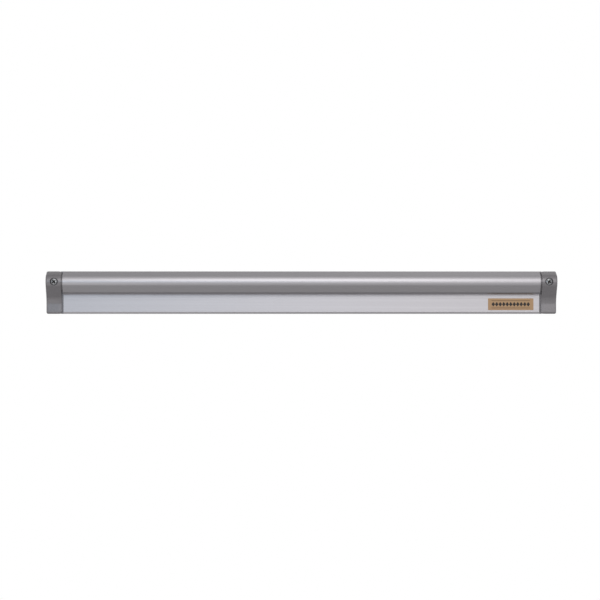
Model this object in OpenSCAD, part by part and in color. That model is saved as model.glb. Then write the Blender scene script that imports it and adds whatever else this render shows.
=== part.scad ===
// Wall rail with a ball grip: a hooked aluminium extrusion, closed at each end by a moulded cap and
// screwed to the wall through the caps. Glass balls lie in the wedge between the hood and the back
// plate. Whatever is pushed up behind them lifts them, and they settle back and grip it.
// Millimetres. The origin is on the wall face, midway between the two screws. +X points to the right
// as seen from the front, +Z up, and -Y towards the front.
// Profiles are drawn as [u, v]: u is the distance forward of the wall, v the height above the bottom edge.

/* [Rail] */
// Length of the extrusion between the end caps
rail_len = 569.8; // [250:0.1:1200]
// Height of the extrusion, bottom edge to top edge
rail_h = 50.8; // [47:0.1:70]
// Thickness of the back plate
plate_t = 2; // [1.5:0.1:2.6]
// Height of the chamfer on the front bottom edge of the back plate
lead_h = 2.2; // [0.8:0.1:4]
// Depth of the chamfer on the front bottom edge of the back plate
lead_d = 1.1; // [0.3:0.1:1.3]
// Depth of the hood, wall to nose
hood_d = 21; // [20:0.1:25]
// Height of the hood, top edge to the lowest point of its curled lip
hood_h = 27.5; // [25:0.1:30]
// Wall thickness of the hood
hood_t = 1.8; // [1.2:0.1:2.2]
// Outer radius of the nose
nose_r = 8; // [7:0.1:9]
// Drop of the nose centre below the top edge
nose_drop = 12.3; // [11.5:0.1:14]
// Slope of the hood's lower wall, away from vertical
wedge_angle = 38; // [33:0.5:42]
// Outer radius of the curled lip under the lower wall
curl_r = 9; // [6:0.1:10]
// Angle at which the curl stops, away from level
curl_end = 72; // [60:1:80]

/* [Grip balls] */
// Diameter of a ball
ball_d = 14; // [11:0.1:15]
// Free length along the channel that goes with each ball
ball_spare = 3; // [2.5:0.1:12]
// Clearance of a resting ball from the plate and from the hood
seat_gap = 0.2; // [0.1:0.05:0.4]

/* [End caps] */
// Width of a cap along the rail, with its shadow gap
cap_w = 19.9; // [17.5:0.05:26]
// Width of the shadow gap between a cap and the extrusion
shadow_gap = 1.6; // [0.4:0.1:2]
// How far a cap stands proud of the hood
cap_proud = 1; // [0.3:0.1:2]
// Depth of the flat foot of a cap, wall to face
foot_d = 7; // [5:0.1:9]
// Radius of the hollow curve between the foot and the hood of a cap
blend_r = 15; // [8:0.5:18]
// Wall thickness of a cap
cap_wall = 2; // [1.4:0.1:2.6]
// Radius on the outer edge of a cap
cap_edge_r = 2; // [0.8:0.1:3]
// Radius on the seam edge of a cap
seam_edge_r = 0.6; // [0.2:0.1:1.2]
// Length of the spigot that fills the end of the hood
spigot_len = 12; // [6:0.5:20]
// Wall thickness of the spigot
spigot_wall = 1.6; // [1:0.1:2.2]
// Clearance between the spigot and the extrusion
fit_gap = 0.15; // [0.05:0.05:0.4]
// Thickness of the stiffening rib inside a cap
rib_t = 1.6; // [1:0.1:2.4]
// How far the rib stands back from the wall
rib_back = 4; // [1:0.5:5]

/* [Wall screws] */
// Thread diameter
screw_d = 4.2; // [3.6:0.1:4.6]
// Diameter of the plain neck, head to wall
neck_d = 3.4; // [2.6:0.1:3.4]
// Length under the head
screw_len = 44.5; // [32:0.5:60]
// Length of the pointed tip
tip_len = 6; // [3:0.5:8]
// Diameter of the blunt end of the tip
point_d = 0.4; // [0.2:0.1:1]
// Diameter of the pan head
head_d = 8; // [7:0.1:8.8]
// Height of the pan head
head_h = 2.9; // [2.2:0.1:3.4]
// Height of the upright rim of the pan head
head_rim_h = 1; // [0.6:0.1:1.4]
// Length of the cross recess
cross_len = 5.2; // [3.6:0.1:5.6]
// Width of a cross slot
cross_w = 1.5; // [0.9:0.1:1.8]
// Depth of the cross recess
cross_depth = 2; // [1.2:0.1:2.1]
// Clearance hole for the screw
hole_d = 4.8; // [4.7:0.1:5.4]
// Diameter of the recess for the head
recess_d = 9.4; // [9:0.1:11]
// Depth of the recess for the head, below the nose of the cap
recess_depth = 3; // [2.4:0.1:4]
// Wall thickness of the boss around the recess
boss_wall = 1.6; // [1:0.1:2]

/* [Name plate] */
// Length of the plain plate at the right end
tag_w = 54.5; // [30:0.5:70]
// Height of the plain plate
tag_h = 16; // [10:0.1:16.5]
// Thickness of the plain plate
tag_t = 0.3; // [0.2:0.05:0.8]
// Corner radius of the plain plate
tag_r = 0.8; // [0.4:0.1:3]
// Gap between the plain plate and the right end of the extrusion
tag_inset = 7; // [4:0.1:20]
// Height of the plain plate above the bottom edge
tag_rise = 4.5; // [4:0.1:5]

/* [Hidden] */
$fn = 64;
nose_steps = 14; // segments in the nose arc of a cap
arc_steps = 6; // segments in the other arcs of a cap
seam_steps = 3; // segments in the seam edge of a cap
least_corner_r = 0.5; // corner radius left inside the thickest wall or the largest edge
eps = 0.01;
beyond = 6; // how far a cutting shape or an outline passes the face that it crosses
thread_in = 0.5; // how far behind the wall face the thread starts
arc_lap = 6; // angle by which a round slice overlaps the flat walls beside it

nose_c = [hood_d - nose_r, rail_h - nose_drop];
top_run = nose_c[0] - plate_t;
top_slope = atan2(nose_drop, top_run) - asin(nose_r / norm([nose_drop, top_run]));
up_normal = [sin(top_slope), cos(top_slope)]; // out of the hood's top face
low_normal = [cos(wedge_angle), -sin(wedge_angle)]; // out of the hood's lower wall

curl_mid_r = curl_r - hood_t / 2;
curl_c_v = rail_h - hood_h + hood_t / 2 + curl_mid_r * sin(curl_end);
curl_c_u = nose_c[0]
    + (nose_r - curl_r + (curl_c_v - nose_c[1]) * sin(wedge_angle)) / cos(wedge_angle);
curl_c = [curl_c_u, curl_c_v];
lip_c = curl_c + curl_mid_r * [cos(curl_end), -sin(curl_end)]; // middle of the rounded edge of the lip
plug_floor_v = curl_c[1] - (curl_r - hood_t) * sin(wedge_angle); // where the curl starts inside the hood

ball_r = ball_d / 2;
ball_u = plate_t + ball_r + seat_gap;
ball_seat = ball_r + seat_gap - (nose_r - hood_t);
ball_v = nose_c[1] + ((ball_u - nose_c[0]) * cos(wedge_angle) + ball_seat) / sin(wedge_angle);
channel_len = rail_len - 2 * spigot_len;
ball_count = floor(channel_len / (ball_d + ball_spare));
ball_pitch = channel_len / ball_count;

screw_v = nose_c[1];
screw_x = (rail_len + cap_w) / 2;
seat_u = hood_d + cap_proud - recess_depth;
boss_d = recess_d + 2 * boss_wall;
foot_r = max(cap_edge_r, cap_wall) + least_corner_r;
cap_nose_r = nose_r + cap_proud;
blend_c_u = foot_d + blend_r;
blend_c_v = nose_c[1]
    - (cap_nose_r + blend_r - (blend_c_u - nose_c[0]) * cos(wedge_angle)) / sin(wedge_angle);

function ball_node(i) = str("grip_ball_", i < 10 ? "0" : "", i);

// Points on an arc, from angle a0 to angle a1
function arc(c, r, a0, a1, steps) =
    [for (k = [0:steps]) let (a = a0 + (a1 - a0) * k / steps) c + r * [cos(a), sin(a)]];

// Outline of a cap set in by a distance from its outer face, passing behind the wall.
// It starts at a point behind the nose that has all the others in sight.
function cap_outline(inset) =
    let (
        top_v = rail_h - inset,
        top_tangent = nose_c + (cap_nose_r - inset) * up_normal,
        top_u = top_tangent[0] - (top_v - top_tangent[1]) / tan(top_slope)
    )
    concat(
        [[-beyond, nose_c[1]], [-beyond, inset]],
        arc([foot_d - foot_r, foot_r], foot_r - inset, -90, 0, arc_steps),
        arc([blend_c_u, blend_c_v], blend_r + inset, 180, 180 - wedge_angle, arc_steps),
        arc(nose_c, cap_nose_r - inset, -wedge_angle, 90 - top_slope, nose_steps),
        [[top_u, top_v], [-beyond, top_v]]
    );

// Rings of a cap from the seam outwards, each as [distance from the extrusion, inset]
function cap_rings() =
    concat(
        [for (k = [0:seam_steps]) let (a = 90 * k / seam_steps)
            [shadow_gap + seam_edge_r * (1 - cos(a)), seam_edge_r * (1 - sin(a))]],
        [for (k = [0:arc_steps]) let (a = 90 * k / arc_steps)
            [cap_w - cap_edge_r * (1 - sin(a)), cap_edge_r * (1 - cos(a))]]
    );

// Turns an outline so that u points to -Y and v to +Z, and extrudes it along X from x0 to x1
module along_rail(x0, x1) {
    translate([x1, 0, -screw_v])
        rotate([90, 0, -90])
            linear_extrude(x1 - x0)
                children();
}

// A rod that runs forward from u0 to u1, on the screw's axis
module forward_rod(d, u0, u1) {
    translate([0, -u0, 0])
        rotate([90, 0, 0])
            cylinder(d = d, h = u1 - u0);
}

// A round bar along the rail, with its axis at c
module rail_bar(c, r, x0, x1) {
    along_rail(x0, x1)
        translate(c) circle(r);
}

// Solid behind the hood's face drawn in by a distance, forward of back_u and above floor_v
module hood_fill(inset, back_u, floor_v, x0, x1) {
    r = nose_r - inset;
    low_tangent = nose_c + r * low_normal;
    top_tangent = nose_c + r * up_normal;
    along_rail(x0, x1)
        polygon([
            [back_u, floor_v],
            [low_tangent[0] - (low_tangent[1] - floor_v) * tan(wedge_angle), floor_v],
            low_tangent,
            nose_c,
            top_tangent,
            [back_u, top_tangent[1] + (top_tangent[0] - back_u) * tan(top_slope)]
        ]);
    rail_bar(nose_c, r, x0, x1);
}

// Back plate with a chamfered front bottom edge
module back_plate(x0, x1) {
    along_rail(x0, x1)
        polygon([
            [0, 0],
            [plate_t - lead_d, 0],
            [plate_t, lead_h],
            [plate_t, rail_h],
            [0, rail_h]
        ]);
}

// Slice of a round bar along the rail, from angle a0 to angle a1
module bar_slice(c, r, a0, a1, x0, x1) {
    intersection() {
        rail_bar(c, r, x0, x1);
        along_rail(x0, x1)
            polygon(concat([c], arc(c, 2 * r, a0, a1, 2)));
    }
}

// Solid behind the hood's face drawn in by a distance, with its curl cut off at end_angle
module hood_body(inset, back_u, end_angle, x0, x1) {
    r = nose_r - inset;
    curl_start = curl_c + (curl_r - inset) * low_normal;
    top_tangent = nose_c + r * up_normal;
    top_v = top_tangent[1] + (top_tangent[0] - plate_t) * tan(top_slope);
    along_rail(x0, x1)
        polygon(concat(
            [[back_u, curl_c[1]], curl_c, curl_start, nose_c + r * low_normal],
            [nose_c, top_tangent, [plate_t, top_v]],
            back_u < plate_t ? [[back_u, top_v]] : []
        ));
    bar_slice(nose_c, r, -wedge_angle - arc_lap, 90 - top_slope + arc_lap, x0, x1);
    bar_slice(curl_c, curl_r - inset, -end_angle, arc_lap - wedge_angle, x0, x1);
}

module rail_extrusion() {
    end = rail_len / 2;
    far = end + beyond;
    color("#b4b6ba") {
        difference() {
            union() {
                back_plate(-end, end);
                hood_body(0, plate_t / 2, curl_end, -end, end);
            }
            hood_body(hood_t, plate_t, curl_end + arc_lap, -far, far);
        }
        rail_bar(lip_c, hood_t / 2, -end, end);
    }
}

// Outer form of a cap, lofted from its seam edge to its rounded outer end
module cap_form() {
    rings = cap_rings();
    n = len(cap_outline(0));
    last = len(rings) - 1;
    points = [for (ring = rings) for (p = cap_outline(ring[1])) [ring[0], -p[0], p[1] - screw_v]];
    sides = [for (k = [0:last - 1]) for (j = [0:n - 1])
        let (a = k * n + j, b = k * n + (j + 1) % n)
        each [[a, b, a + n], [b, b + n, a + n]]];
    seam_face = [for (j = [0:n - 1]) (n - j) % n];
    end_face = [for (j = [0:n - 1]) last * n + j];
    polyhedron(points, concat(sides, [seam_face, end_face]));
}

// Hollow of a cap, open towards the wall, around the screw boss and its rib
module cap_hollow() {
    difference() {
        along_rail(shadow_gap + cap_wall, cap_w - cap_wall) polygon(cap_outline(cap_wall));
        translate([cap_w / 2, 0, 0]) forward_rod(boss_d, -2 * beyond, hood_d + 2 * beyond);
        translate([(cap_w - rib_t) / 2, -hood_d - beyond, -rail_h])
            cube([rib_t, hood_d + beyond - rib_back, 2 * rail_h]);
    }
}

// Fills the channel above the curl, with a clearance to the hood and the plate
module channel_plug(gap, x0, x1) {
    hood_fill(hood_t + gap, plate_t + gap, plug_floor_v + gap, x0, x1);
}

// Cap that meets the extrusion at x = 0, with its outer end towards +X.
// A thin tab behind the shadow gap butts against the end of the back plate.
module end_cap() {
    difference() {
        cap_form();
        cap_hollow();
        translate([-eps, 0, -rail_h]) cube([cap_w + 2 * eps, 2 * beyond, 2 * rail_h]);
        translate([cap_w / 2, 0, 0]) {
            forward_rod(hole_d, -beyond, hood_d);
            forward_rod(recess_d, seat_u, hood_d + beyond);
        }
    }
    difference() {
        channel_plug(fit_gap, -spigot_len, shadow_gap + cap_wall / 2);
        channel_plug(fit_gap + spigot_wall, -spigot_len - beyond, shadow_gap + cap_wall);
    }
    along_rail(0, shadow_gap + cap_wall / 2) square([plate_t / 2, rail_h]);
}

module right_end_cap() {
    color("#757376")
        translate([rail_len / 2, 0, 0]) end_cap();
}

module left_end_cap() {
    color("#757376")
        mirror([1, 0, 0])
            translate([rail_len / 2, 0, 0]) end_cap();
}

// Pan-head wood screw, head forward, seated in a cap's recess
module wall_screw(x) {
    dome_h = head_h - head_rim_h;
    dome_r = (pow(head_d / 2, 2) + pow(dome_h, 2)) / (2 * dome_h);
    color("#c8cacc")
        translate([x, 0, 0]) {
            forward_rod(neck_d, -thread_in - eps, seat_u + head_rim_h / 2);
            forward_rod(screw_d, seat_u - screw_len + tip_len, -thread_in);
            translate([0, -(seat_u - screw_len + tip_len), 0])
                rotate([-90, 0, 0])
                    cylinder(d1 = screw_d, d2 = point_d, h = tip_len);
            difference() {
                intersection() {
                    forward_rod(head_d, seat_u, seat_u + head_h);
                    translate([0, -(seat_u + head_h - dome_r), 0]) sphere(dome_r);
                }
                for (turn = [45, 135])
                    rotate([0, turn, 0])
                        translate([-cross_len / 2, -seat_u - head_h - eps, -cross_w / 2])
                            cube([cross_len, cross_depth + eps, cross_w]);
            }
        }
}

module name_plate() {
    inner = [tag_w - 2 * tag_r, tag_h - 2 * tag_r];
    color("#c8a873")
        translate([rail_len / 2 - tag_inset - tag_w, -plate_t, tag_rise - screw_v])
            rotate([90, 0, 0])
                linear_extrude(tag_t) {
                    translate([0, tag_r]) square([tag_w, inner[1]]);
                    translate([tag_r, 0]) square([inner[0], tag_h]);
                    for (x = [tag_r, tag_w - tag_r], y = [tag_r, tag_h - tag_r])
                        translate([x, y]) circle(tag_r);
                }
}

module grip_ball(i) {
    color("#a9c4bd")
        translate([(i - 0.5) * ball_pitch - channel_len / 2, -ball_u, ball_v - screw_v])
            sphere(ball_r);
}

rail_extrusion();
left_end_cap();
right_end_cap();
wall_screw(-screw_x);  // left_wall_screw
wall_screw(screw_x);  // right_wall_screw
name_plate();
for (i = [1:ball_count])
    grip_ball(i);
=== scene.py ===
import math

import bmesh
import bpy
from mathutils import Matrix, Vector


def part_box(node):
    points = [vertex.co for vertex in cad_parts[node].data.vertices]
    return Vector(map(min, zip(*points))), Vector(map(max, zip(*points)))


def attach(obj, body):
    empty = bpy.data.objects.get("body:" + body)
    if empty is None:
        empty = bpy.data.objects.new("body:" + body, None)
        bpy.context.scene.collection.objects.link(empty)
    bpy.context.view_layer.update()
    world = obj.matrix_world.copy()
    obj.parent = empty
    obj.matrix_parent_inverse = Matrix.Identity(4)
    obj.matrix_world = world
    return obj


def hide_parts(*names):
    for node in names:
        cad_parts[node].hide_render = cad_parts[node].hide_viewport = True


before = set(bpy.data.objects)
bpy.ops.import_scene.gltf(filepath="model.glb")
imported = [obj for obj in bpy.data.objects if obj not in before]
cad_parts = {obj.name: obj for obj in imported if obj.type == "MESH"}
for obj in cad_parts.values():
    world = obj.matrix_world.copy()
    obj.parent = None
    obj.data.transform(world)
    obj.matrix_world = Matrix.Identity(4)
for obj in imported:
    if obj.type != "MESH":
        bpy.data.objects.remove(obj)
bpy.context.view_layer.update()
mm = 0.001
print("frame loaded:", len(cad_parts), "nodes")


# Small tools

def hexToLinear(code):
    channels = [int(code[i:i + 2], 16) / 255 for i in (1, 3, 5)]
    return [c / 12.92 if c <= 0.04045 else ((c + 0.055) / 1.055) ** 2.4 for c in channels] + [1.0]


def addNode(tree, kind, settings={}):
    # a socket given as a value is linked, any other value is set
    node = tree.nodes.new(kind)
    for name, value in settings.items():
        if isinstance(value, bpy.types.NodeSocket):
            tree.links.new(value, node.inputs[name])
        elif isinstance(name, str) and hasattr(node, name):
            setattr(node, name, value)
        else:
            node.inputs[name].default_value = value
    return node


def startMaterial(name):
    material = bpy.data.materials.new(name)
    material.use_nodes = True
    material.node_tree.nodes.clear()
    return material, material.node_tree


def arcPoints(centre, radius, startAngle, endAngle, steps):
    angles = [math.radians(startAngle + (endAngle - startAngle) * k / steps) for k in range(steps + 1)]
    return [(centre[0] + radius * math.cos(a), centre[1] + radius * math.sin(a)) for a in angles]


def addPiece(name, mesh, material=None):
    piece = bpy.data.objects.new(name, mesh)
    bpy.context.scene.collection.objects.link(piece)
    if material:
        mesh.materials.clear()
        mesh.materials.append(material)
    return piece


def meshFromRings(name, rings, closedEnds=True):
    # skins a list of closed rings that all have the same number of points
    form = bmesh.new()
    verts = [[form.verts.new(p) for p in ring] for ring in rings]
    count = len(rings[0])
    for lower, upper in zip(verts, verts[1:]):
        for j in range(count):
            k = (j + 1) % count
            form.faces.new((lower[j], lower[k], upper[k], upper[j]))
    if closedEnds:
        form.faces.new(verts[0][::-1])
        form.faces.new(verts[-1])
    bmesh.ops.recalc_face_normals(form, faces=form.faces)
    mesh = bpy.data.meshes.new(name)
    form.to_mesh(mesh)
    form.free()
    return mesh


def bake(piece, kind, **settings):
    # adds one modifier and keeps its result as the piece's mesh
    modifier = piece.modifiers.new(kind, kind)
    for name, value in settings.items():
        setattr(modifier, name, value)
    graph = bpy.context.evaluated_depsgraph_get()
    result = bpy.data.meshes.new_from_object(piece.evaluated_get(graph))
    piece.modifiers.clear()
    piece.data = result


def breakEdges(piece, width, segments, angle):
    limit = math.radians(angle)
    bake(piece, "BEVEL", width=width * mm, segments=segments, limit_method="ANGLE", angle_limit=limit)


def cut(piece, *tools, operation="DIFFERENCE"):
    for tool in tools:
        bake(piece, "BOOLEAN", object=tool, operation=operation, solver="EXACT", material_mode="TRANSFER")
        bpy.data.objects.remove(tool)


def smoothFaces(piece, sharpAngle):
    piece.data.shade_smooth()
    piece.data.set_sharp_from_angle(angle=math.radians(sharpAngle))
    bake(piece, "WEIGHTED_NORMAL", keep_sharp=True)  # flat faces stay flat beside their rounded edges


def install(piece, body, slot, *nodes):
    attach(piece, body)
    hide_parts(*nodes)


# Materials

def satinAnodisedAluminium():
    # Aluminium 6063, extruded, caustic etched and clear anodised.
    # The etch gives a soft even sheen; the die leaves faint straight lines along the length.
    look = {
        "colour": "#cfccd0",
        "cloud": "#cac7cb",
        "cloudSize": 70 * mm,
        "line": "#c8c5c9",
        "lineSpacing": 1.1 * mm,  # real die lines are about 0.2 mm, drawn coarser so that they show
        "lineLength": 400 * mm,
        "lineTint": (0.4, 0.7),  # where in the noise a line's tint starts and is full
        "lineSheen": (0.3, 0.7),  # and its change of roughness
        "lineDepth": 0.02 * mm,
        "lineStrength": 0.12,
        "roughness": (0.3, 0.35),  # between the lines, on the lines
        "anisotropy": 0.7,
    }
    material, tree = startMaterial("aluminium extruded satin anodised")
    place = addNode(tree, "ShaderNodeTexCoord").outputs["Object"]
    stretch = addNode(tree, "ShaderNodeMapping", {
        "Vector": place, "Scale": (1 / look["lineLength"], 1 / look["lineSpacing"], 1 / look["lineSpacing"]),
    })
    lines = addNode(tree, "ShaderNodeTexNoise", {
        "Vector": stretch.outputs[0], "Scale": 1.0, "Detail": 3.0, "Roughness": 0.6,
    })
    clouds = addNode(tree, "ShaderNodeTexNoise", {
        "Vector": place, "Scale": 1 / look["cloudSize"], "Detail": 2.0,
    })
    cloudy = addNode(tree, "ShaderNodeMix", {
        "data_type": "RGBA", 0: clouds.outputs["Fac"],
        6: hexToLinear(look["colour"]), 7: hexToLinear(look["cloud"]),
    })
    drawn = addNode(tree, "ShaderNodeMapRange", {
        "Value": lines.outputs["Fac"], "From Min": look["lineTint"][0], "From Max": look["lineTint"][1],
    })
    tint = addNode(tree, "ShaderNodeMix", {
        "data_type": "RGBA", 0: drawn.outputs[0], 6: cloudy.outputs[2], 7: hexToLinear(look["line"]),
    })
    sheen = addNode(tree, "ShaderNodeMapRange", {
        "Value": lines.outputs["Fac"], "From Min": look["lineSheen"][0], "From Max": look["lineSheen"][1],
        "To Min": look["roughness"][0], "To Max": look["roughness"][1],
    })
    relief = addNode(tree, "ShaderNodeBump", {
        "Height": lines.outputs["Fac"], "Strength": look["lineStrength"], "Distance": look["lineDepth"],
    })
    across = addNode(tree, "ShaderNodeTangent", {  # across the die lines
        "direction_type": "RADIAL", "axis": "X",
    })
    surface = addNode(tree, "ShaderNodeBsdfPrincipled", {
        "Base Color": tint.outputs[2], "Metallic": 1.0, "Roughness": sheen.outputs[0],
        "Anisotropic": look["anisotropy"], "Tangent": across.outputs[0], "Normal": relief.outputs[0],
    })
    addNode(tree, "ShaderNodeOutputMaterial", {"Surface": surface.outputs[0]})
    return material


def mouldedAbs():
    # ABS with aluminium flake, injection moulded in a spark-eroded tool.
    # The flake gives a grey with a soft metallic sheen, which the tool's fine pits make slightly grainy.
    look = {
        "colour": "#898689",
        "mottle": "#827f82",
        "mottleSize": 6 * mm,
        "flake": "#908d90",
        "flakeSize": 0.5 * mm,  # real flakes are about 0.05 mm, drawn coarser so that they show
        "flakeTint": (0.5, 0.9),  # where among the flakes their tint starts and is full
        "pitSize": 0.5 * mm,  # real pits are about 0.1 mm, drawn coarser so that they show
        "pitDepth": 0.03 * mm,
        "pitStrength": 0.25,
        "roughness": (0.22, 0.28),
        "metallic": 0.5,  # share of the surface that is flake
        "ior": 1.54,
    }
    material, tree = startMaterial("ABS aluminium flake moulded spark eroded")
    place = addNode(tree, "ShaderNodeTexCoord").outputs["Object"]
    pits = addNode(tree, "ShaderNodeTexNoise", {"Vector": place, "Scale": 1 / look["pitSize"], "Detail": 2.0})
    mottle = addNode(tree, "ShaderNodeTexNoise", {
        "Vector": place, "Scale": 1 / look["mottleSize"], "Detail": 3.0,
    })
    flakes = addNode(tree, "ShaderNodeTexVoronoi", {"Vector": place, "Scale": 1 / look["flakeSize"]})
    body = addNode(tree, "ShaderNodeMix", {
        "data_type": "RGBA", 0: mottle.outputs["Fac"],
        6: hexToLinear(look["colour"]), 7: hexToLinear(look["mottle"]),
    })
    shown = addNode(tree, "ShaderNodeMapRange", {
        "Value": flakes.outputs["Color"], "From Min": look["flakeTint"][0], "From Max": look["flakeTint"][1],
    })
    tint = addNode(tree, "ShaderNodeMix", {
        "data_type": "RGBA", 0: shown.outputs[0], 6: body.outputs[2], 7: hexToLinear(look["flake"]),
    })
    gloss = addNode(tree, "ShaderNodeMapRange", {
        "Value": mottle.outputs["Fac"], "To Min": look["roughness"][0], "To Max": look["roughness"][1],
    })
    relief = addNode(tree, "ShaderNodeBump", {
        "Height": pits.outputs["Fac"], "Strength": look["pitStrength"], "Distance": look["pitDepth"],
    })
    surface = addNode(tree, "ShaderNodeBsdfPrincipled", {
        "Base Color": tint.outputs[2], "Metallic": look["metallic"], "Roughness": gloss.outputs[0],
        "IOR": look["ior"], "Normal": relief.outputs[0],
    })
    addNode(tree, "ShaderNodeOutputMaterial", {"Surface": surface.outputs[0]})
    return material


def zincPlatedSteel():
    # Steel wire, cold headed, thread rolled and bright zinc plated.
    # The plating mirrors its surroundings, a little dulled where it is thin.
    look = {
        "bright": "#c8c9cc",
        "dull": "#989a9b",
        "patchSize": 1.5 * mm,
        "roughness": (0.12, 0.3),  # bright, dull
    }
    material, tree = startMaterial("steel bright zinc plated")
    place = addNode(tree, "ShaderNodeTexCoord").outputs["Object"]
    patches = addNode(tree, "ShaderNodeTexNoise", {
        "Vector": place, "Scale": 1 / look["patchSize"], "Detail": 4.0,
    })
    tint = addNode(tree, "ShaderNodeMix", {
        "data_type": "RGBA", 0: patches.outputs["Fac"],
        6: hexToLinear(look["bright"]), 7: hexToLinear(look["dull"]),
    })
    polish = addNode(tree, "ShaderNodeMapRange", {
        "Value": patches.outputs["Fac"], "To Min": look["roughness"][0], "To Max": look["roughness"][1],
    })
    surface = addNode(tree, "ShaderNodeBsdfPrincipled", {
        "Base Color": tint.outputs[2], "Metallic": 1.0, "Roughness": polish.outputs[0],
    })
    addNode(tree, "ShaderNodeOutputMaterial", {"Surface": surface.outputs[0]})
    return material


def recessShadeSteel():
    # Steel wire, punched for the cross recess.
    # Painted shade: the recess gets this dark, dry steel in place of the shade that falls inside it, so that
    # the cross reads from a distance.
    look = {
        # both colours are painted shade, lighter and darker, for the inside of the cross
        "shadeGrey": "#4a4744",
        "bare": "#2a2827",
        "patchSize": 0.8 * mm,
        "roughness": 0.45,
    }
    material, tree = startMaterial("steel recess painted shade")
    place = addNode(tree, "ShaderNodeTexCoord").outputs["Object"]
    patches = addNode(tree, "ShaderNodeTexNoise", {
        "Vector": place, "Scale": 1 / look["patchSize"], "Detail": 3.0,
    })
    tint = addNode(tree, "ShaderNodeMix", {
        "data_type": "RGBA", 0: patches.outputs["Fac"],
        6: hexToLinear(look["shadeGrey"]), 7: hexToLinear(look["bare"]),
    })
    surface = addNode(tree, "ShaderNodeBsdfPrincipled", {
        "Base Color": tint.outputs[2], "Metallic": 1.0, "Roughness": look["roughness"],
    })
    addNode(tree, "ShaderNodeOutputMaterial", {"Surface": surface.outputs[0]})
    return material


def pressedGlass():
    # Soda-lime glass, pressed hot and tumbled round.
    # Clear with a green cast from its iron, and a surface that is smooth but not optical.
    look = {
        "colour": "#dcebe4",
        "rubSize": 2.5 * mm,
        "rubHaze": (0.45, 0.75),  # where in the noise the haze starts and is full
        "roughness": (0.02, 0.12),  # clear, rubbed
        "ior": 1.52,
    }
    material, tree = startMaterial("soda-lime glass pressed")
    place = addNode(tree, "ShaderNodeTexCoord").outputs["Object"]
    rub = addNode(tree, "ShaderNodeTexNoise", {"Vector": place, "Scale": 1 / look["rubSize"], "Detail": 3.0})
    haze = addNode(tree, "ShaderNodeMapRange", {
        "Value": rub.outputs["Fac"], "From Min": look["rubHaze"][0], "From Max": look["rubHaze"][1],
        "To Min": look["roughness"][0], "To Max": look["roughness"][1],
    })
    surface = addNode(tree, "ShaderNodeBsdfPrincipled", {
        "Base Color": hexToLinear(look["colour"]), "Roughness": haze.outputs[0], "IOR": look["ior"],
        "Transmission Weight": 1.0,
    })
    addNode(tree, "ShaderNodeOutputMaterial", {"Surface": surface.outputs[0]})
    return material


def goldFoil():
    # Polyester film, metallised, dyed gold and overprinted.
    # Warm and softly mirror-like under a slight orange peel; the ornament is flat ink.
    look = {
        "gold": "#a98e68",
        "rose": "#a78773",
        "blushSize": 40 * mm,
        "peelSize": 1.2 * mm,
        "peelDepth": 0.03 * mm,
        "peelStrength": 0.15,
        "roughness": 0.32,
        "printWidth": 46.2 * mm,  # 11 lozenges
        "marks": [  # ink, pitch, height, place above the middle, slant of the ends
            ("#6a4c2e", 4.2 * mm, 0.6 * mm, -4.4 * mm, 0),  # lower rule
            ("#6a4c2e", 4.2 * mm, 0.6 * mm, 4.4 * mm, 0),  # upper rule
            ("#1d140e", 4.2 * mm, 5.6 * mm, 0, 1),  # lozenges
        ],
    }
    material, tree = startMaterial("polyester foil metallised gold")
    place = addNode(tree, "ShaderNodeTexCoord").outputs["Object"]
    peel = addNode(tree, "ShaderNodeTexNoise", {
        "Vector": place, "Scale": 1 / look["peelSize"], "Detail": 1.0,
    })
    blush = addNode(tree, "ShaderNodeTexNoise", {
        "Vector": place, "Scale": 1 / look["blushSize"], "Detail": 1.0,
    })
    colour = addNode(tree, "ShaderNodeMix", {
        "data_type": "RGBA", 0: blush.outputs["Fac"],
        6: hexToLinear(look["gold"]), 7: hexToLinear(look["rose"]),
    }).outputs[2]
    bare = 1.0  # metal where no ink lies
    ends = addNode(tree, "ShaderNodeSeparateXYZ", {0: place})
    side = addNode(tree, "ShaderNodeMath", {"operation": "ABSOLUTE", 0: ends.outputs["X"]})
    inside = addNode(tree, "ShaderNodeMath", {
        "operation": "LESS_THAN", 0: side.outputs[0], 1: look["printWidth"] / 2,
    })
    for ink, pitch, height, middle, slant in look["marks"]:
        repeat = addNode(tree, "ShaderNodeMapping", {
            "Vector": place, "Scale": (2 / pitch, 0, 2 / height), "Location": (0, 0, -2 * middle / height),
        })
        axes = addNode(tree, "ShaderNodeSeparateXYZ", {0: repeat.outputs[0]})
        along = addNode(tree, "ShaderNodeMath", {"operation": "PINGPONG", 0: axes.outputs["X"], 1: 1.0})
        up = addNode(tree, "ShaderNodeMath", {"operation": "ABSOLUTE", 0: axes.outputs["Z"]})
        edge = addNode(tree, "ShaderNodeMath", {
            "operation": "MULTIPLY_ADD", 0: along.outputs[0], 1: slant, 2: up.outputs[0],
        })
        band = addNode(tree, "ShaderNodeMath", {"operation": "LESS_THAN", 0: edge.outputs[0], 1: 1.0})
        inked = addNode(tree, "ShaderNodeMath", {
            "operation": "MULTIPLY", 0: band.outputs[0], 1: inside.outputs[0],
        })
        colour = addNode(tree, "ShaderNodeMix", {
            "data_type": "RGBA", 0: inked.outputs[0], 6: colour, 7: hexToLinear(ink),
        }).outputs[2]
        bare = addNode(tree, "ShaderNodeMath", {
            "operation": "SUBTRACT", 0: bare, 1: inked.outputs[0],
        }).outputs[0]
    relief = addNode(tree, "ShaderNodeBump", {
        "Height": peel.outputs["Fac"], "Strength": look["peelStrength"], "Distance": look["peelDepth"],
    })
    surface = addNode(tree, "ShaderNodeBsdfPrincipled", {
        "Base Color": colour, "Metallic": bare, "Roughness": look["roughness"], "Normal": relief.outputs[0],
    })
    addNode(tree, "ShaderNodeOutputMaterial", {"Surface": surface.outputs[0]})
    return material


aluminium = satinAnodisedAluminium()
capPlastic = mouldedAbs()
screwSteel = zincPlatedSteel()
# dark steel that paints the shade inside the screws' cross recess
paintedRecessShade = recessShadeSteel()
ballGlass = pressedGlass()
foil = goldFoil()
print("materials made")


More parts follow.
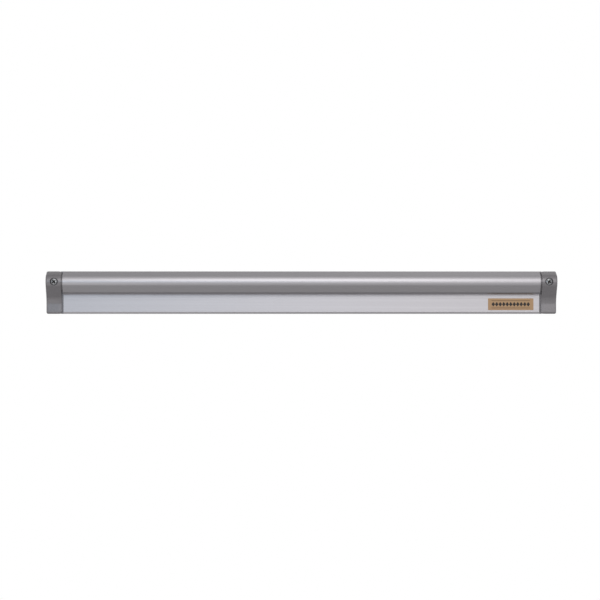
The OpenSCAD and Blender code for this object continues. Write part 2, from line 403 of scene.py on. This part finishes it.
# Rail extrusion. Profiles are (u, v) in mm: u forward of the wall, v above the bottom edge.

rail = {
    "plate": 2.0,
    "leadHeight": 2.2,  # chamfer on the front bottom edge of the plate
    "leadDepth": 1.1,
    "hoodWall": 1.8,
    "hoodHeight": 27.5,  # top edge to the lowest point of the lip
    "noseRadius": 8.0,
    "noseDrop": 12.3,  # nose centre below the top edge
    "wedge": 38.0,  # slope of the lower wall, from vertical
    "curlRadius": 9.0,  # outside of the curled lip under the lower wall
    "curlEnd": 72.0,  # where the curl stops, from level
    "noseSteps": 56,
    "curlSteps": 18,
    "lipSteps": 16,
    "brokenEdge": 0.2,  # deburred corners
    "edgeSegments": 4,
    "edgeAngle": 15.0,
    "sharpAngle": 30.0,
}
railLow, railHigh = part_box("rail_extrusion")
bottomZ = railLow.z
railHeight = (railHigh.z - railLow.z) / mm
hoodDepth = -railLow.y / mm

noseCentre = (hoodDepth - rail["noseRadius"], railHeight - rail["noseDrop"])
topRun = noseCentre[0] - rail["plate"]
topReach = math.hypot(rail["noseDrop"], topRun)
topSlope = math.degrees(math.atan2(rail["noseDrop"], topRun) - math.asin(rail["noseRadius"] / topReach))
wedge = math.radians(rail["wedge"])
noseAngles = (-rail["wedge"], 90 - topSlope)  # from the lower wall round to the top face
curlMiddle = rail["curlRadius"] - rail["hoodWall"] / 2
curlRise = curlMiddle * math.sin(math.radians(rail["curlEnd"]))  # from the lip's middle to the curl's centre
curlV = railHeight - rail["hoodHeight"] + rail["hoodWall"] / 2 + curlRise
curlReach = rail["noseRadius"] - rail["curlRadius"] + (curlV - noseCentre[1]) * math.sin(wedge)
curlCentre = (noseCentre[0] + curlReach / math.cos(wedge), curlV)
plugFloorV = curlV - (rail["curlRadius"] - rail["hoodWall"]) * math.sin(wedge)  # where the curl starts inside
screwV = noseCentre[1]  # the screws are level with the nose
past = 6.0  # cutting shapes run this far past what they cut


def atPlace(x, point):
    # a point of a profile in mm, as a place in the frame
    return Vector((x, -point[0] * mm, bottomZ + point[1] * mm))


def onArc(centre, radius, angle):
    return arcPoints(centre, radius, angle, angle, 1)[0]


def railOutline():
    inside = rail["noseRadius"] - rail["hoodWall"]
    curlInside = rail["curlRadius"] - rail["hoodWall"]
    end = -rail["curlEnd"]
    lipCentre = onArc(curlCentre, curlMiddle, end)
    ceilingV = railHeight - rail["hoodWall"] / math.cos(math.radians(topSlope))
    return (
        [(0, 0), (rail["plate"] - rail["leadDepth"], 0), (rail["plate"], rail["leadHeight"])]
        + [(rail["plate"], ceilingV)]
        + arcPoints(noseCentre, inside, noseAngles[1], noseAngles[0], rail["noseSteps"])
        + arcPoints(curlCentre, curlInside, noseAngles[0], end, rail["curlSteps"])[:-1]
        + arcPoints(lipCentre, rail["hoodWall"] / 2, end + 180, end + 360, rail["lipSteps"])
        + arcPoints(curlCentre, rail["curlRadius"], end, noseAngles[0], rail["curlSteps"])[1:]
        + arcPoints(noseCentre, rail["noseRadius"], noseAngles[0], noseAngles[1], rail["noseSteps"])
        + [(rail["plate"], railHeight), (0, railHeight)]
    )


outline = railOutline()
rings = [[atPlace(x, p) for p in outline] for x in (railLow.x, railHigh.x)]
extrusion = addPiece("railExtrusion", meshFromRings("railExtrusion", rings), aluminium)
breakEdges(extrusion, rail["brokenEdge"], rail["edgeSegments"], rail["edgeAngle"])
smoothFaces(extrusion, rail["sharpAngle"])
install(extrusion, "rail", "anodised_aluminium", "rail_extrusion")
print("extrusion made:", len(extrusion.data.polygons), "faces")


# End caps, sizes in mm

cap = {
    "gap": 1.6,  # shadow gap to the extrusion
    "proud": 1.0,  # how far it stands off the hood
    "foot": 7.0,  # depth of the flat foot
    "blendRadius": 15.0,
    "wall": 2.0,
    "edgeRadius": 2.0,  # round the outer end
    "seamRadius": 0.4,
    "crownWidth": 4.6,  # beside the seam the front falls away softly
    "crownDrop": 0.4,
    "cornerRadius": 2.5,  # under the foot
    "spigotLength": 12.0,
    "spigotWall": 1.6,
    "fitGap": 0.15,  # spigot to hood
    "rib": 1.6,
    "ribBack": 4.0,  # from the wall to the rib
    "boss": 12.6,
    "hole": 4.8,
    "recessSeat": 7.8,  # tapers out from the seat of the screw head to the mouth
    "recessMouth": 9.8,
    "recessDepth": 3.0,
    "noseSteps": 40,
    "blendSteps": 18,
    "cornerSteps": 8,
    "edgeSteps": 8,
    "roundSteps": 64,
    "sharpAngle": 32.0,
}
capWidth = (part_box("right_end_cap")[1].x - railHigh.x) / mm


def capOutline(inset, backU):
    noseRadius = rail["noseRadius"] + cap["proud"]
    blendU = cap["foot"] + cap["blendRadius"]
    reach = noseRadius + cap["blendRadius"] - (blendU - noseCentre[0]) * math.cos(wedge)
    blend = (blendU, noseCentre[1] - reach / math.sin(wedge))
    corner = (cap["foot"] - cap["cornerRadius"], cap["cornerRadius"])
    tangent = onArc(noseCentre, noseRadius - inset, noseAngles[1])
    topV = railHeight - inset
    topU = tangent[0] - (topV - tangent[1]) / math.tan(math.radians(topSlope))
    return (
        [(backU, inset)]
        + arcPoints(corner, cap["cornerRadius"] - inset, -90, 0, cap["cornerSteps"])
        + arcPoints(blend, cap["blendRadius"] + inset, 180, 180 - rail["wedge"], cap["blendSteps"])
        + arcPoints(noseCentre, noseRadius - inset, noseAngles[0], noseAngles[1], cap["noseSteps"])
        + [(topU, topV), (backU, topV)]
    )


def rectangle(startU, endU, startV, endV):
    return [(startU, startV), (endU, startV), (endU, endV), (startU, endV)]


def atCap(x, point):
    # mm from the end of the extrusion, where the cap is shaped before it is scaled and moved to its place
    return Vector((x, -point[0], point[1]))


def extruded(points, startX, endX):
    rings = [[atCap(x, p) for p in points] for x in (startX, endX)]
    return addPiece("tool", meshFromRings("tool", rings))


def bar(*ends):
    # a round bar about the screw's axis, through the given u and diameters
    rings = []
    for u, diameter in ends:
        circle = arcPoints((capWidth / 2, screwV), diameter / 2, 0, 360, cap["roundSteps"])[:-1]
        rings.append([atCap(x, (u, v)) for x, v in circle])
    return addPiece("tool", meshFromRings("tool", rings))


def spigotOutline(gap):
    radius = rail["noseRadius"] - rail["hoodWall"] - gap
    low = onArc(noseCentre, radius, noseAngles[0])
    top = onArc(noseCentre, radius, noseAngles[1])
    floorV = plugFloorV + gap  # the plug ends above the curl
    backU = rail["plate"] + gap
    return (
        [(backU, floorV), (low[0] - (low[1] - floorV) * math.tan(wedge), floorV)]
        + arcPoints(noseCentre, radius, noseAngles[0], noseAngles[1], cap["noseSteps"])
        + [(backU, top[1] + (top[0] - backU) * math.tan(math.radians(topSlope)))]
    )


def makeCap():
    shares = [k / cap["edgeSteps"] for k in range(cap["edgeSteps"] + 1)]
    turns = [math.pi / 2 * s for s in shares]
    seam = [(cap["gap"] + cap["seamRadius"] * (1 - math.cos(a)),
             cap["crownDrop"] + cap["seamRadius"] * (1 - math.sin(a))) for a in turns]
    crown = [(seam[-1][0] + cap["crownWidth"] * s, cap["crownDrop"] * (1 - s) ** 2) for s in shares[1:]]
    end = [(capWidth - cap["edgeRadius"] * (1 - math.sin(a)),
            cap["edgeRadius"] * (1 - math.cos(a))) for a in turns]
    rings = [[atCap(x, p) for p in capOutline(inset, 0)] for x, inset in seam + crown + end]
    shell = addPiece("cap", meshFromRings("cap", rings))
    hollow = extruded(capOutline(cap["wall"], -past), cap["gap"] + cap["wall"], capWidth - cap["wall"])
    ribOutline = rectangle(cap["ribBack"], hoodDepth + past, -past, railHeight + past)
    rib = extruded(ribOutline, (capWidth - cap["rib"]) / 2, (capWidth + cap["rib"]) / 2)
    boss = bar((0, cap["boss"]), (hoodDepth + past, cap["boss"]))
    cut(hollow, boss, rib)
    frontU = hoodDepth + cap["proud"]
    seatU = frontU - cap["recessDepth"]
    hole = bar((-past, cap["hole"]), (hoodDepth, cap["hole"]))
    mouth = cap["recessMouth"]
    recess = bar((seatU, cap["recessSeat"]), (frontU, mouth), (frontU + past, mouth))
    rootX = cap["gap"] + cap["wall"] / 2
    spigot = extruded(spigotOutline(cap["fitGap"]), -cap["spigotLength"], rootX)
    boreOutline = spigotOutline(cap["fitGap"] + cap["spigotWall"])
    bore = extruded(boreOutline, -cap["spigotLength"] - past, rootX + past)
    tab = extruded(rectangle(0, rail["plate"] / 2, 0, railHeight), 0, rootX)
    cut(spigot, bore)
    cut(shell, hollow, hole, recess)
    cut(shell, spigot, tab, operation="UNION")
    shell.data.transform(Matrix.Translation((railHigh.x, 0, bottomZ)) @ Matrix.Scale(mm, 4))
    return shell


rightCap = makeCap()
rightCap.name = "rightEndCap"
rightCap.data.materials.clear()
rightCap.data.materials.append(capPlastic)
leftMesh = rightCap.data.copy()
for vertex in leftMesh.vertices:
    vertex.co.x = -vertex.co.x
leftMesh.flip_normals()
leftCap = addPiece("leftEndCap", leftMesh, capPlastic)
smoothFaces(rightCap, cap["sharpAngle"])
smoothFaces(leftCap, cap["sharpAngle"])
install(rightCap, "rail", "cap_plastic", "right_end_cap")
install(leftCap, "rail", "cap_plastic", "left_end_cap")
print("caps made:", len(rightCap.data.polygons), "faces each")


# Wall screws, sizes in mm

screw = {
    "head": 7.6,
    "headHeight": 2.9,
    "rimHeight": 1.6,
    "rimRound": 0.15,
    "shank": 4.2,
    "core": 2.8,
    "neck": 3.4,  # plain part, head to wall
    "neckRunIn": 0.3,
    "threadStart": 0.5,  # behind the wall face
    "pitch": 1.8,
    "ridgeWidth": 0.625,  # foot of the thread's ridge, as a share of the pitch
    "tip": 6.0,
    "pointShare": 0.12,  # core left at the very point
    "turnSteps": 40,
    "pitchSteps": 12,
    "domeSteps": 14,
    "crossLength": 6.2,
    "crossWidth": 1.5,
    "crossFloor": 0.5,  # share of the cross left at its floor
    "crossDepth": 2.0,
    "pit": 3.2,  # tapered pit in the middle of the cross
    "pitSteps": 5,
    "crossTurn": {"left": 38, "right": 62},  # degrees, as the screws were left
    "cutAbove": 1.0,  # the cross is cut from this far in front of the head
    "sharpAngle": 40.0,
}


def threadRadius(along, turn, length):
    # sharp rolled ridge that fades into the point and into the neck
    phase = (along / screw["pitch"] - turn) % 1.0
    ridge = max(0.0, 1 - abs(phase - 0.5) * 2 / screw["ridgeWidth"])
    fade = min(1.0, along / screw["tip"], (length - along) / screw["pitch"])
    taper = min(1.0, screw["pointShare"] + (1 - screw["pointShare"]) * along / screw["tip"])
    core = screw["core"] / 2 * taper
    return core + max(0.0, fade) * ridge * (screw["shank"] / 2 - core)


def crossRing(turn, share, y):
    # outline of the recess at one depth: four wings round the pit
    reach = screw["crossLength"] / 2 * share
    radius = screw["pit"] / 2 * share
    half = screw["crossWidth"] / 2 * (1 + share) / 2  # the wings narrow half as fast as they shorten
    root = math.degrees(math.asin(half / radius))
    outline = []
    for middle in range(turn, turn + 360, 90):
        a = math.radians(middle)
        for side in (-1, 1):
            outline.append((reach * math.cos(a) - side * half * math.sin(a),
                            reach * math.sin(a) + side * half * math.cos(a)))
        outline += arcPoints((0, 0), radius, middle + root, middle + 90 - root, screw["pitSteps"])
    return [Vector((x, y, z)) for x, z in outline]


def makeScrew(side):
    # shaped in mm about its own axis, then scaled and moved to its place
    low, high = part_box(side + "_wall_screw")
    tipY = high.y / mm
    topY = low.y / mm
    seatY = topY + screw["headHeight"]
    length = tipY - screw["threadStart"]
    turns = [k / screw["turnSteps"] for k in range(screw["turnSteps"])]

    def ringOf(radii, y):
        return [Vector((r * math.cos(2 * math.pi * t), y, r * math.sin(2 * math.pi * t)))
                for r, t in zip(radii, turns)]

    def plainRing(radius, y):
        return ringOf([radius] * len(turns), y)

    rows = int(length / screw["pitch"] * screw["pitchSteps"])
    half = screw["head"] / 2
    domeHeight = screw["headHeight"] - screw["rimHeight"]
    domeRadius = (half ** 2 + domeHeight ** 2) / (2 * domeHeight)
    rings = []
    for k in range(rows + 1):
        along = length * k / rows
        rings.append(ringOf([threadRadius(along, t, length) for t in turns], tipY - along))
    rings.append(plainRing(screw["neck"] / 2, screw["threadStart"] - screw["neckRunIn"]))
    rings.append(plainRing(screw["neck"] / 2, seatY))
    rings.append(plainRing(half - screw["rimRound"], seatY))
    rings.append(plainRing(half, seatY - screw["rimRound"]))
    for k in range(screw["domeSteps"]):
        r = half * math.cos(math.pi / 2 * k / screw["domeSteps"])
        lift = math.sqrt(domeRadius ** 2 - r ** 2) - (domeRadius - domeHeight)
        rings.append(plainRing(r, seatY - screw["rimHeight"] - lift))
    piece = addPiece(side + "WallScrew", meshFromRings("screw", rings), screwSteel)

    # the cross is cut with the painted-shade steel, so its faces carry painted shade
    recess = [crossRing(screw["crossTurn"][side], share, y) for y, share in (
        (topY - screw["cutAbove"], 1.0), (topY, 1.0), (topY + screw["crossDepth"], screw["crossFloor"]))]
    cut(piece, addPiece("tool", meshFromRings("tool", recess), paintedRecessShade))
    piece.data.transform(Matrix.Translation(((low.x + high.x) / 2, 0, 0)) @ Matrix.Scale(mm, 4))
    smoothFaces(piece, screw["sharpAngle"])
    install(piece, "rail", "screw_steel", side + "_wall_screw")
    return piece


for side in ("left", "right"):
    wallScrew = makeScrew(side)
print("screws made:", len(wallScrew.data.polygons), "faces each")


# Name plate, foil with a printed ornament, sizes in mm

plate = {
    "topTrim": 2.0,  # the foil stops this far below the top of its solid
    "cornerRadius": 0.8,
    "cornerSteps": 8,
    "brokenEdge": 0.06,
    "edgeSegments": 2,
    "edgeAngle": 35.0,
    "sharpAngle": 30.0,
}
plateLow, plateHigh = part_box("name_plate")
plateHigh.z -= plate["topTrim"] * mm
plateHalf = (plateHigh - plateLow) / 2
cornerX = plateHalf.x / mm - plate["cornerRadius"]
cornerZ = plateHalf.z / mm - plate["cornerRadius"]
plateCorners = []
for k, (sx, sz) in enumerate(((1, -1), (1, 1), (-1, 1), (-1, -1))):
    centre = (sx * cornerX, sz * cornerZ)
    plateCorners += arcPoints(centre, plate["cornerRadius"], 90 * k - 90, 90 * k, plate["cornerSteps"])
plateRings = [[Vector((x * mm, y, z * mm)) for x, z in plateCorners] for y in (plateHalf.y, -plateHalf.y)]
namePlate = addPiece("namePlate", meshFromRings("namePlate", plateRings), foil)
breakEdges(namePlate, plate["brokenEdge"], plate["edgeSegments"], plate["edgeAngle"])
smoothFaces(namePlate, plate["sharpAngle"])
namePlate.location = (plateLow + plateHigh) / 2
install(namePlate, "rail", "gold_plate", "name_plate")
print("name plate made")


# Grip balls

ball = {
    "segments": 40,
    "rings": 24,
    "outOfRound": 0.03,  # mm, from tumbling
    "flats": Vector((3, 5, -4)),  # how often it dips, each way
}
ballNodes = sorted(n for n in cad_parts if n.startswith("grip_ball_"))
ballLow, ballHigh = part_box(ballNodes[0])
ballRadius = (ballHigh.z - ballLow.z) / 2
form = bmesh.new()
bmesh.ops.create_uvsphere(form, u_segments=ball["segments"], v_segments=ball["rings"], radius=ballRadius)
for vertex in form.verts:
    outward = vertex.co.normalized()
    vertex.co -= outward * ball["outOfRound"] * mm * (1 + math.sin(ball["flats"].dot(outward))) / 2
form.verts.index_update()
ballFaces = sorted([v.index for v in face.verts] for face in form.faces)  # the same order in every run
ballMesh = bpy.data.meshes.new("gripBall")
ballMesh.from_pydata([v.co for v in form.verts], [], ballFaces)
form.free()
ballMesh.shade_smooth()
for node in ballNodes:
    low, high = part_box(node)
    number = node[-2:]
    gripBall = addPiece("gripBall" + number, ballMesh, ballGlass)
    gripBall.location = (low + high) / 2
    install(gripBall, "ball_" + number, "ball_glass", node)
print("balls made:", len(ballNodes))


# Studio, sizes in m

studio = {
    "floorDrop": 0.8,  # m below the rail
    "floorX": (-6.0, 6.0),
    "floorY": (-2.6, 3.0),
    "floorColour": "#e2e2e2",
    "floorRoughness": 0.9,
    "floorGlow": 0.42,  # what lifts it to near white where it is seen
    "white": "#ffffff",
    "ambient": 0.65,  # light of the white room on the object
    "lampSize": (1.2, 0.8),
    "lampDistance": 2.2,
    "lampElevation": 12,  # degrees
    "lampX": 0.1,
    "lampWatts": 12.0,
}
tent = {  # fabric round the rail, which only reflections see
    "radius": 0.75,
    "halfLength": 3.0,
    "steps": 96,
    "fabric": {  # degrees from the front, 90 is straight up
        -180: "#e1e1e1", -125: "#cacaca", -104: "#626262", -86: "#626262", -70: "#b0b0b0", -24: "#c4c4c4",
        0: "#b6b6b6", 60: "#cacaca", 110: "#a1a1a1", 150: "#a8a8a8", 180: "#e1e1e1",
    },
    "lamps": [  # behind the fabric: colour and level, degrees and their spread, x and its spread
        ("#ffffff", 1.4, 28, 19, 0.04, 0.44),
        ("#ffffff", 0.2, -38, 18, -0.42, 0.22),
        ("#ffffff", 0.1, 135, 40, 0.35, 0.5),
        ("#8fb0c8", 0.96, 2, 10, -0.5, 0.6),
        ("#e1dedb", 0.96, 2, 10, 0.5, 0.6),
    ],
}


def fromFront(angle, distance):
    # direction in the rail's cross plane: 0 is towards the camera, 90 straight up
    a = math.radians(angle)
    return Vector((0, -math.cos(a), math.sin(a))) * distance


def raysThatSee(tree):
    # 1 for what the camera, metal and glass see, 0 for the light that falls on the object
    path = addNode(tree, "ShaderNodeLightPath")
    direct = addNode(tree, "ShaderNodeMath", {
        "operation": "MAXIMUM", 0: path.outputs["Is Camera Ray"], 1: path.outputs["Is Glossy Ray"],
    })
    seen = addNode(tree, "ShaderNodeMath", {
        "operation": "MAXIMUM", 0: direct.outputs[0], 1: path.outputs["Is Transmission Ray"],
    })
    return seen.outputs[0]


def whiteRoom():
    world = bpy.data.worlds.new("white studio")
    bpy.context.scene.world = world
    world.use_nodes = True
    tree = world.node_tree
    tree.nodes.clear()
    level = addNode(tree, "ShaderNodeMapRange", {
        "Value": raysThatSee(tree), "To Min": studio["ambient"], "To Max": 1.0,
    })
    sky = addNode(tree, "ShaderNodeBackground", {
        "Color": hexToLinear(studio["white"]), "Strength": level.outputs[0],
    })
    addNode(tree, "ShaderNodeOutputWorld", {"Surface": sky.outputs[0]})


def paleFloor():
    material, tree = startMaterial("concrete painted matt")
    glow = addNode(tree, "ShaderNodeMath", {
        "operation": "MULTIPLY", 0: raysThatSee(tree), 1: studio["floorGlow"],
    })
    surface = addNode(tree, "ShaderNodeBsdfPrincipled", {
        "Base Color": hexToLinear(studio["floorColour"]), "Roughness": studio["floorRoughness"],
        "Emission Color": hexToLinear(studio["white"]), "Emission Strength": glow.outputs[0],
    })
    clear = addNode(tree, "ShaderNodeBsdfTransparent")
    facing = addNode(tree, "ShaderNodeNewGeometry")
    # clear from below, so that the mouth can be looked into
    oneSided = addNode(tree, "ShaderNodeMixShader", {
        0: facing.outputs["Backfacing"], 1: surface.outputs[0], 2: clear.outputs[0],
    })
    addNode(tree, "ShaderNodeOutputMaterial", {"Surface": oneSided.outputs[0]})
    floorZ = bottomZ - studio["floorDrop"]
    left, right = studio["floorX"]
    front, back = studio["floorY"]
    corners = [(x, y, floorZ) for x, y in ((left, front), (right, front), (right, back), (left, back))]
    mesh = bpy.data.meshes.new("floor")
    mesh.from_pydata(corners, [], [(0, 1, 2, 3)])
    addPiece("floor", mesh, material)


def lightTent():
    material, tree = startMaterial("tent fabric lit from outside")
    place = addNode(tree, "ShaderNodeTexCoord")
    axes = addNode(tree, "ShaderNodeSeparateXYZ", {0: place.outputs["Object"]})
    front = addNode(tree, "ShaderNodeMath", {"operation": "MULTIPLY", 0: axes.outputs["Y"], 1: -1.0})
    turn = addNode(tree, "ShaderNodeMath", {
        "operation": "ARCTAN2", 0: axes.outputs["Z"], 1: front.outputs[0],
    })
    angle = addNode(tree, "ShaderNodeMath", {"operation": "DEGREES", 0: turn.outputs[0]})
    share = addNode(tree, "ShaderNodeMapRange", {
        "Value": angle.outputs[0], "From Min": -180.0, "From Max": 180.0,
    })
    fabric = addNode(tree, "ShaderNodeValToRGB", {0: share.outputs[0]})
    stops = fabric.color_ramp.elements
    ends = {-180: stops[0], 180: stops[-1]}
    for degrees, code in tent["fabric"].items():
        stop = ends[degrees] if degrees in ends else stops.new((degrees + 180) / 360)
        stop.color = hexToLinear(code)
    spot = addNode(tree, "ShaderNodeCombineXYZ", {"X": angle.outputs[0], "Y": axes.outputs["X"]})
    light = fabric.outputs[0]
    for code, level, degrees, spread, middle, width in tent["lamps"]:
        off = addNode(tree, "ShaderNodeMapping", {
            "Vector": spot.outputs[0], "Scale": (1 / spread, 1 / width, 0),
            "Location": (-degrees / spread, -middle / width, 0),
        })
        square = addNode(tree, "ShaderNodeVectorMath", {
            "operation": "DOT_PRODUCT", 0: off.outputs[0], 1: off.outputs[0],
        })
        fade = addNode(tree, "ShaderNodeMath", {
            "operation": "POWER", 0: 1 / math.e, 1: square.outputs["Value"],
        })
        glow = [level * c for c in hexToLinear(code)[:3]]
        light = addNode(tree, "ShaderNodeVectorMath", {
            "operation": "MULTIPLY_ADD", 0: fade.outputs[0], 1: glow, 2: light,
        }).outputs[0]
    sheet = addNode(tree, "ShaderNodeEmission", {"Color": light, "Strength": 1.0})
    addNode(tree, "ShaderNodeOutputMaterial", {"Surface": sheet.outputs[0]})

    ring = [fromFront(360 * k / tent["steps"], tent["radius"]) for k in range(tent["steps"])]
    rings = [[p + Vector((x, 0, 0)) for p in ring] for x in (-tent["halfLength"], tent["halfLength"])]
    sheets = addPiece("lightTent", meshFromRings("lightTent", rings, closedEnds=False), material)
    sheets.visible_camera = False
    sheets.visible_diffuse = False
    sheets.visible_shadow = False
    sheets.visible_transmission = False


def keyLamp():
    lampData = bpy.data.lights.new("key", "AREA")
    lampData.shape = "RECTANGLE"
    lampData.size, lampData.size_y = studio["lampSize"]
    lampData.energy = studio["lampWatts"]
    lamp = bpy.data.objects.new("key", lampData)
    bpy.context.scene.collection.objects.link(lamp)
    lamp.location = fromFront(studio["lampElevation"], studio["lampDistance"])
    lamp.location.x += studio["lampX"]
    lamp.rotation_euler = (-lamp.location).to_track_quat("-Z", "Y").to_euler()
    lamp.visible_camera = False
    lamp.visible_glossy = False  # mirrored by the lamps behind the tent instead


whiteRoom()
paleFloor()
lightTent()
keyLamp()
print("studio made")


# Camera: level, a little left of the middle, a long lens

view = {
    "distance": 3.2,  # m from the wall face
    "offsetX": -48.0,  # mm, from the rail's middle
    "offsetZ": -21.9,  # mm, from the screws
    "aimX": -1.9,  # mm, where the lens axis meets the wall
    "lens": 160.3,
    "sensor": 36.0,
}
cameraData = bpy.data.cameras.new("camera")
cameraData.lens = view["lens"]
cameraData.sensor_width = view["sensor"]
camera = bpy.data.objects.new("camera", cameraData)
bpy.context.scene.collection.objects.link(camera)
camera.location = (view["offsetX"] * mm, -view["distance"], view["offsetZ"] * mm)
swing = math.atan2((view["offsetX"] - view["aimX"]) * mm, view["distance"])
camera.rotation_euler = (math.radians(90), 0, swing)
bpy.context.scene.camera = camera
bpy.context.scene.view_settings.view_transform = "Standard"
print("camera set")
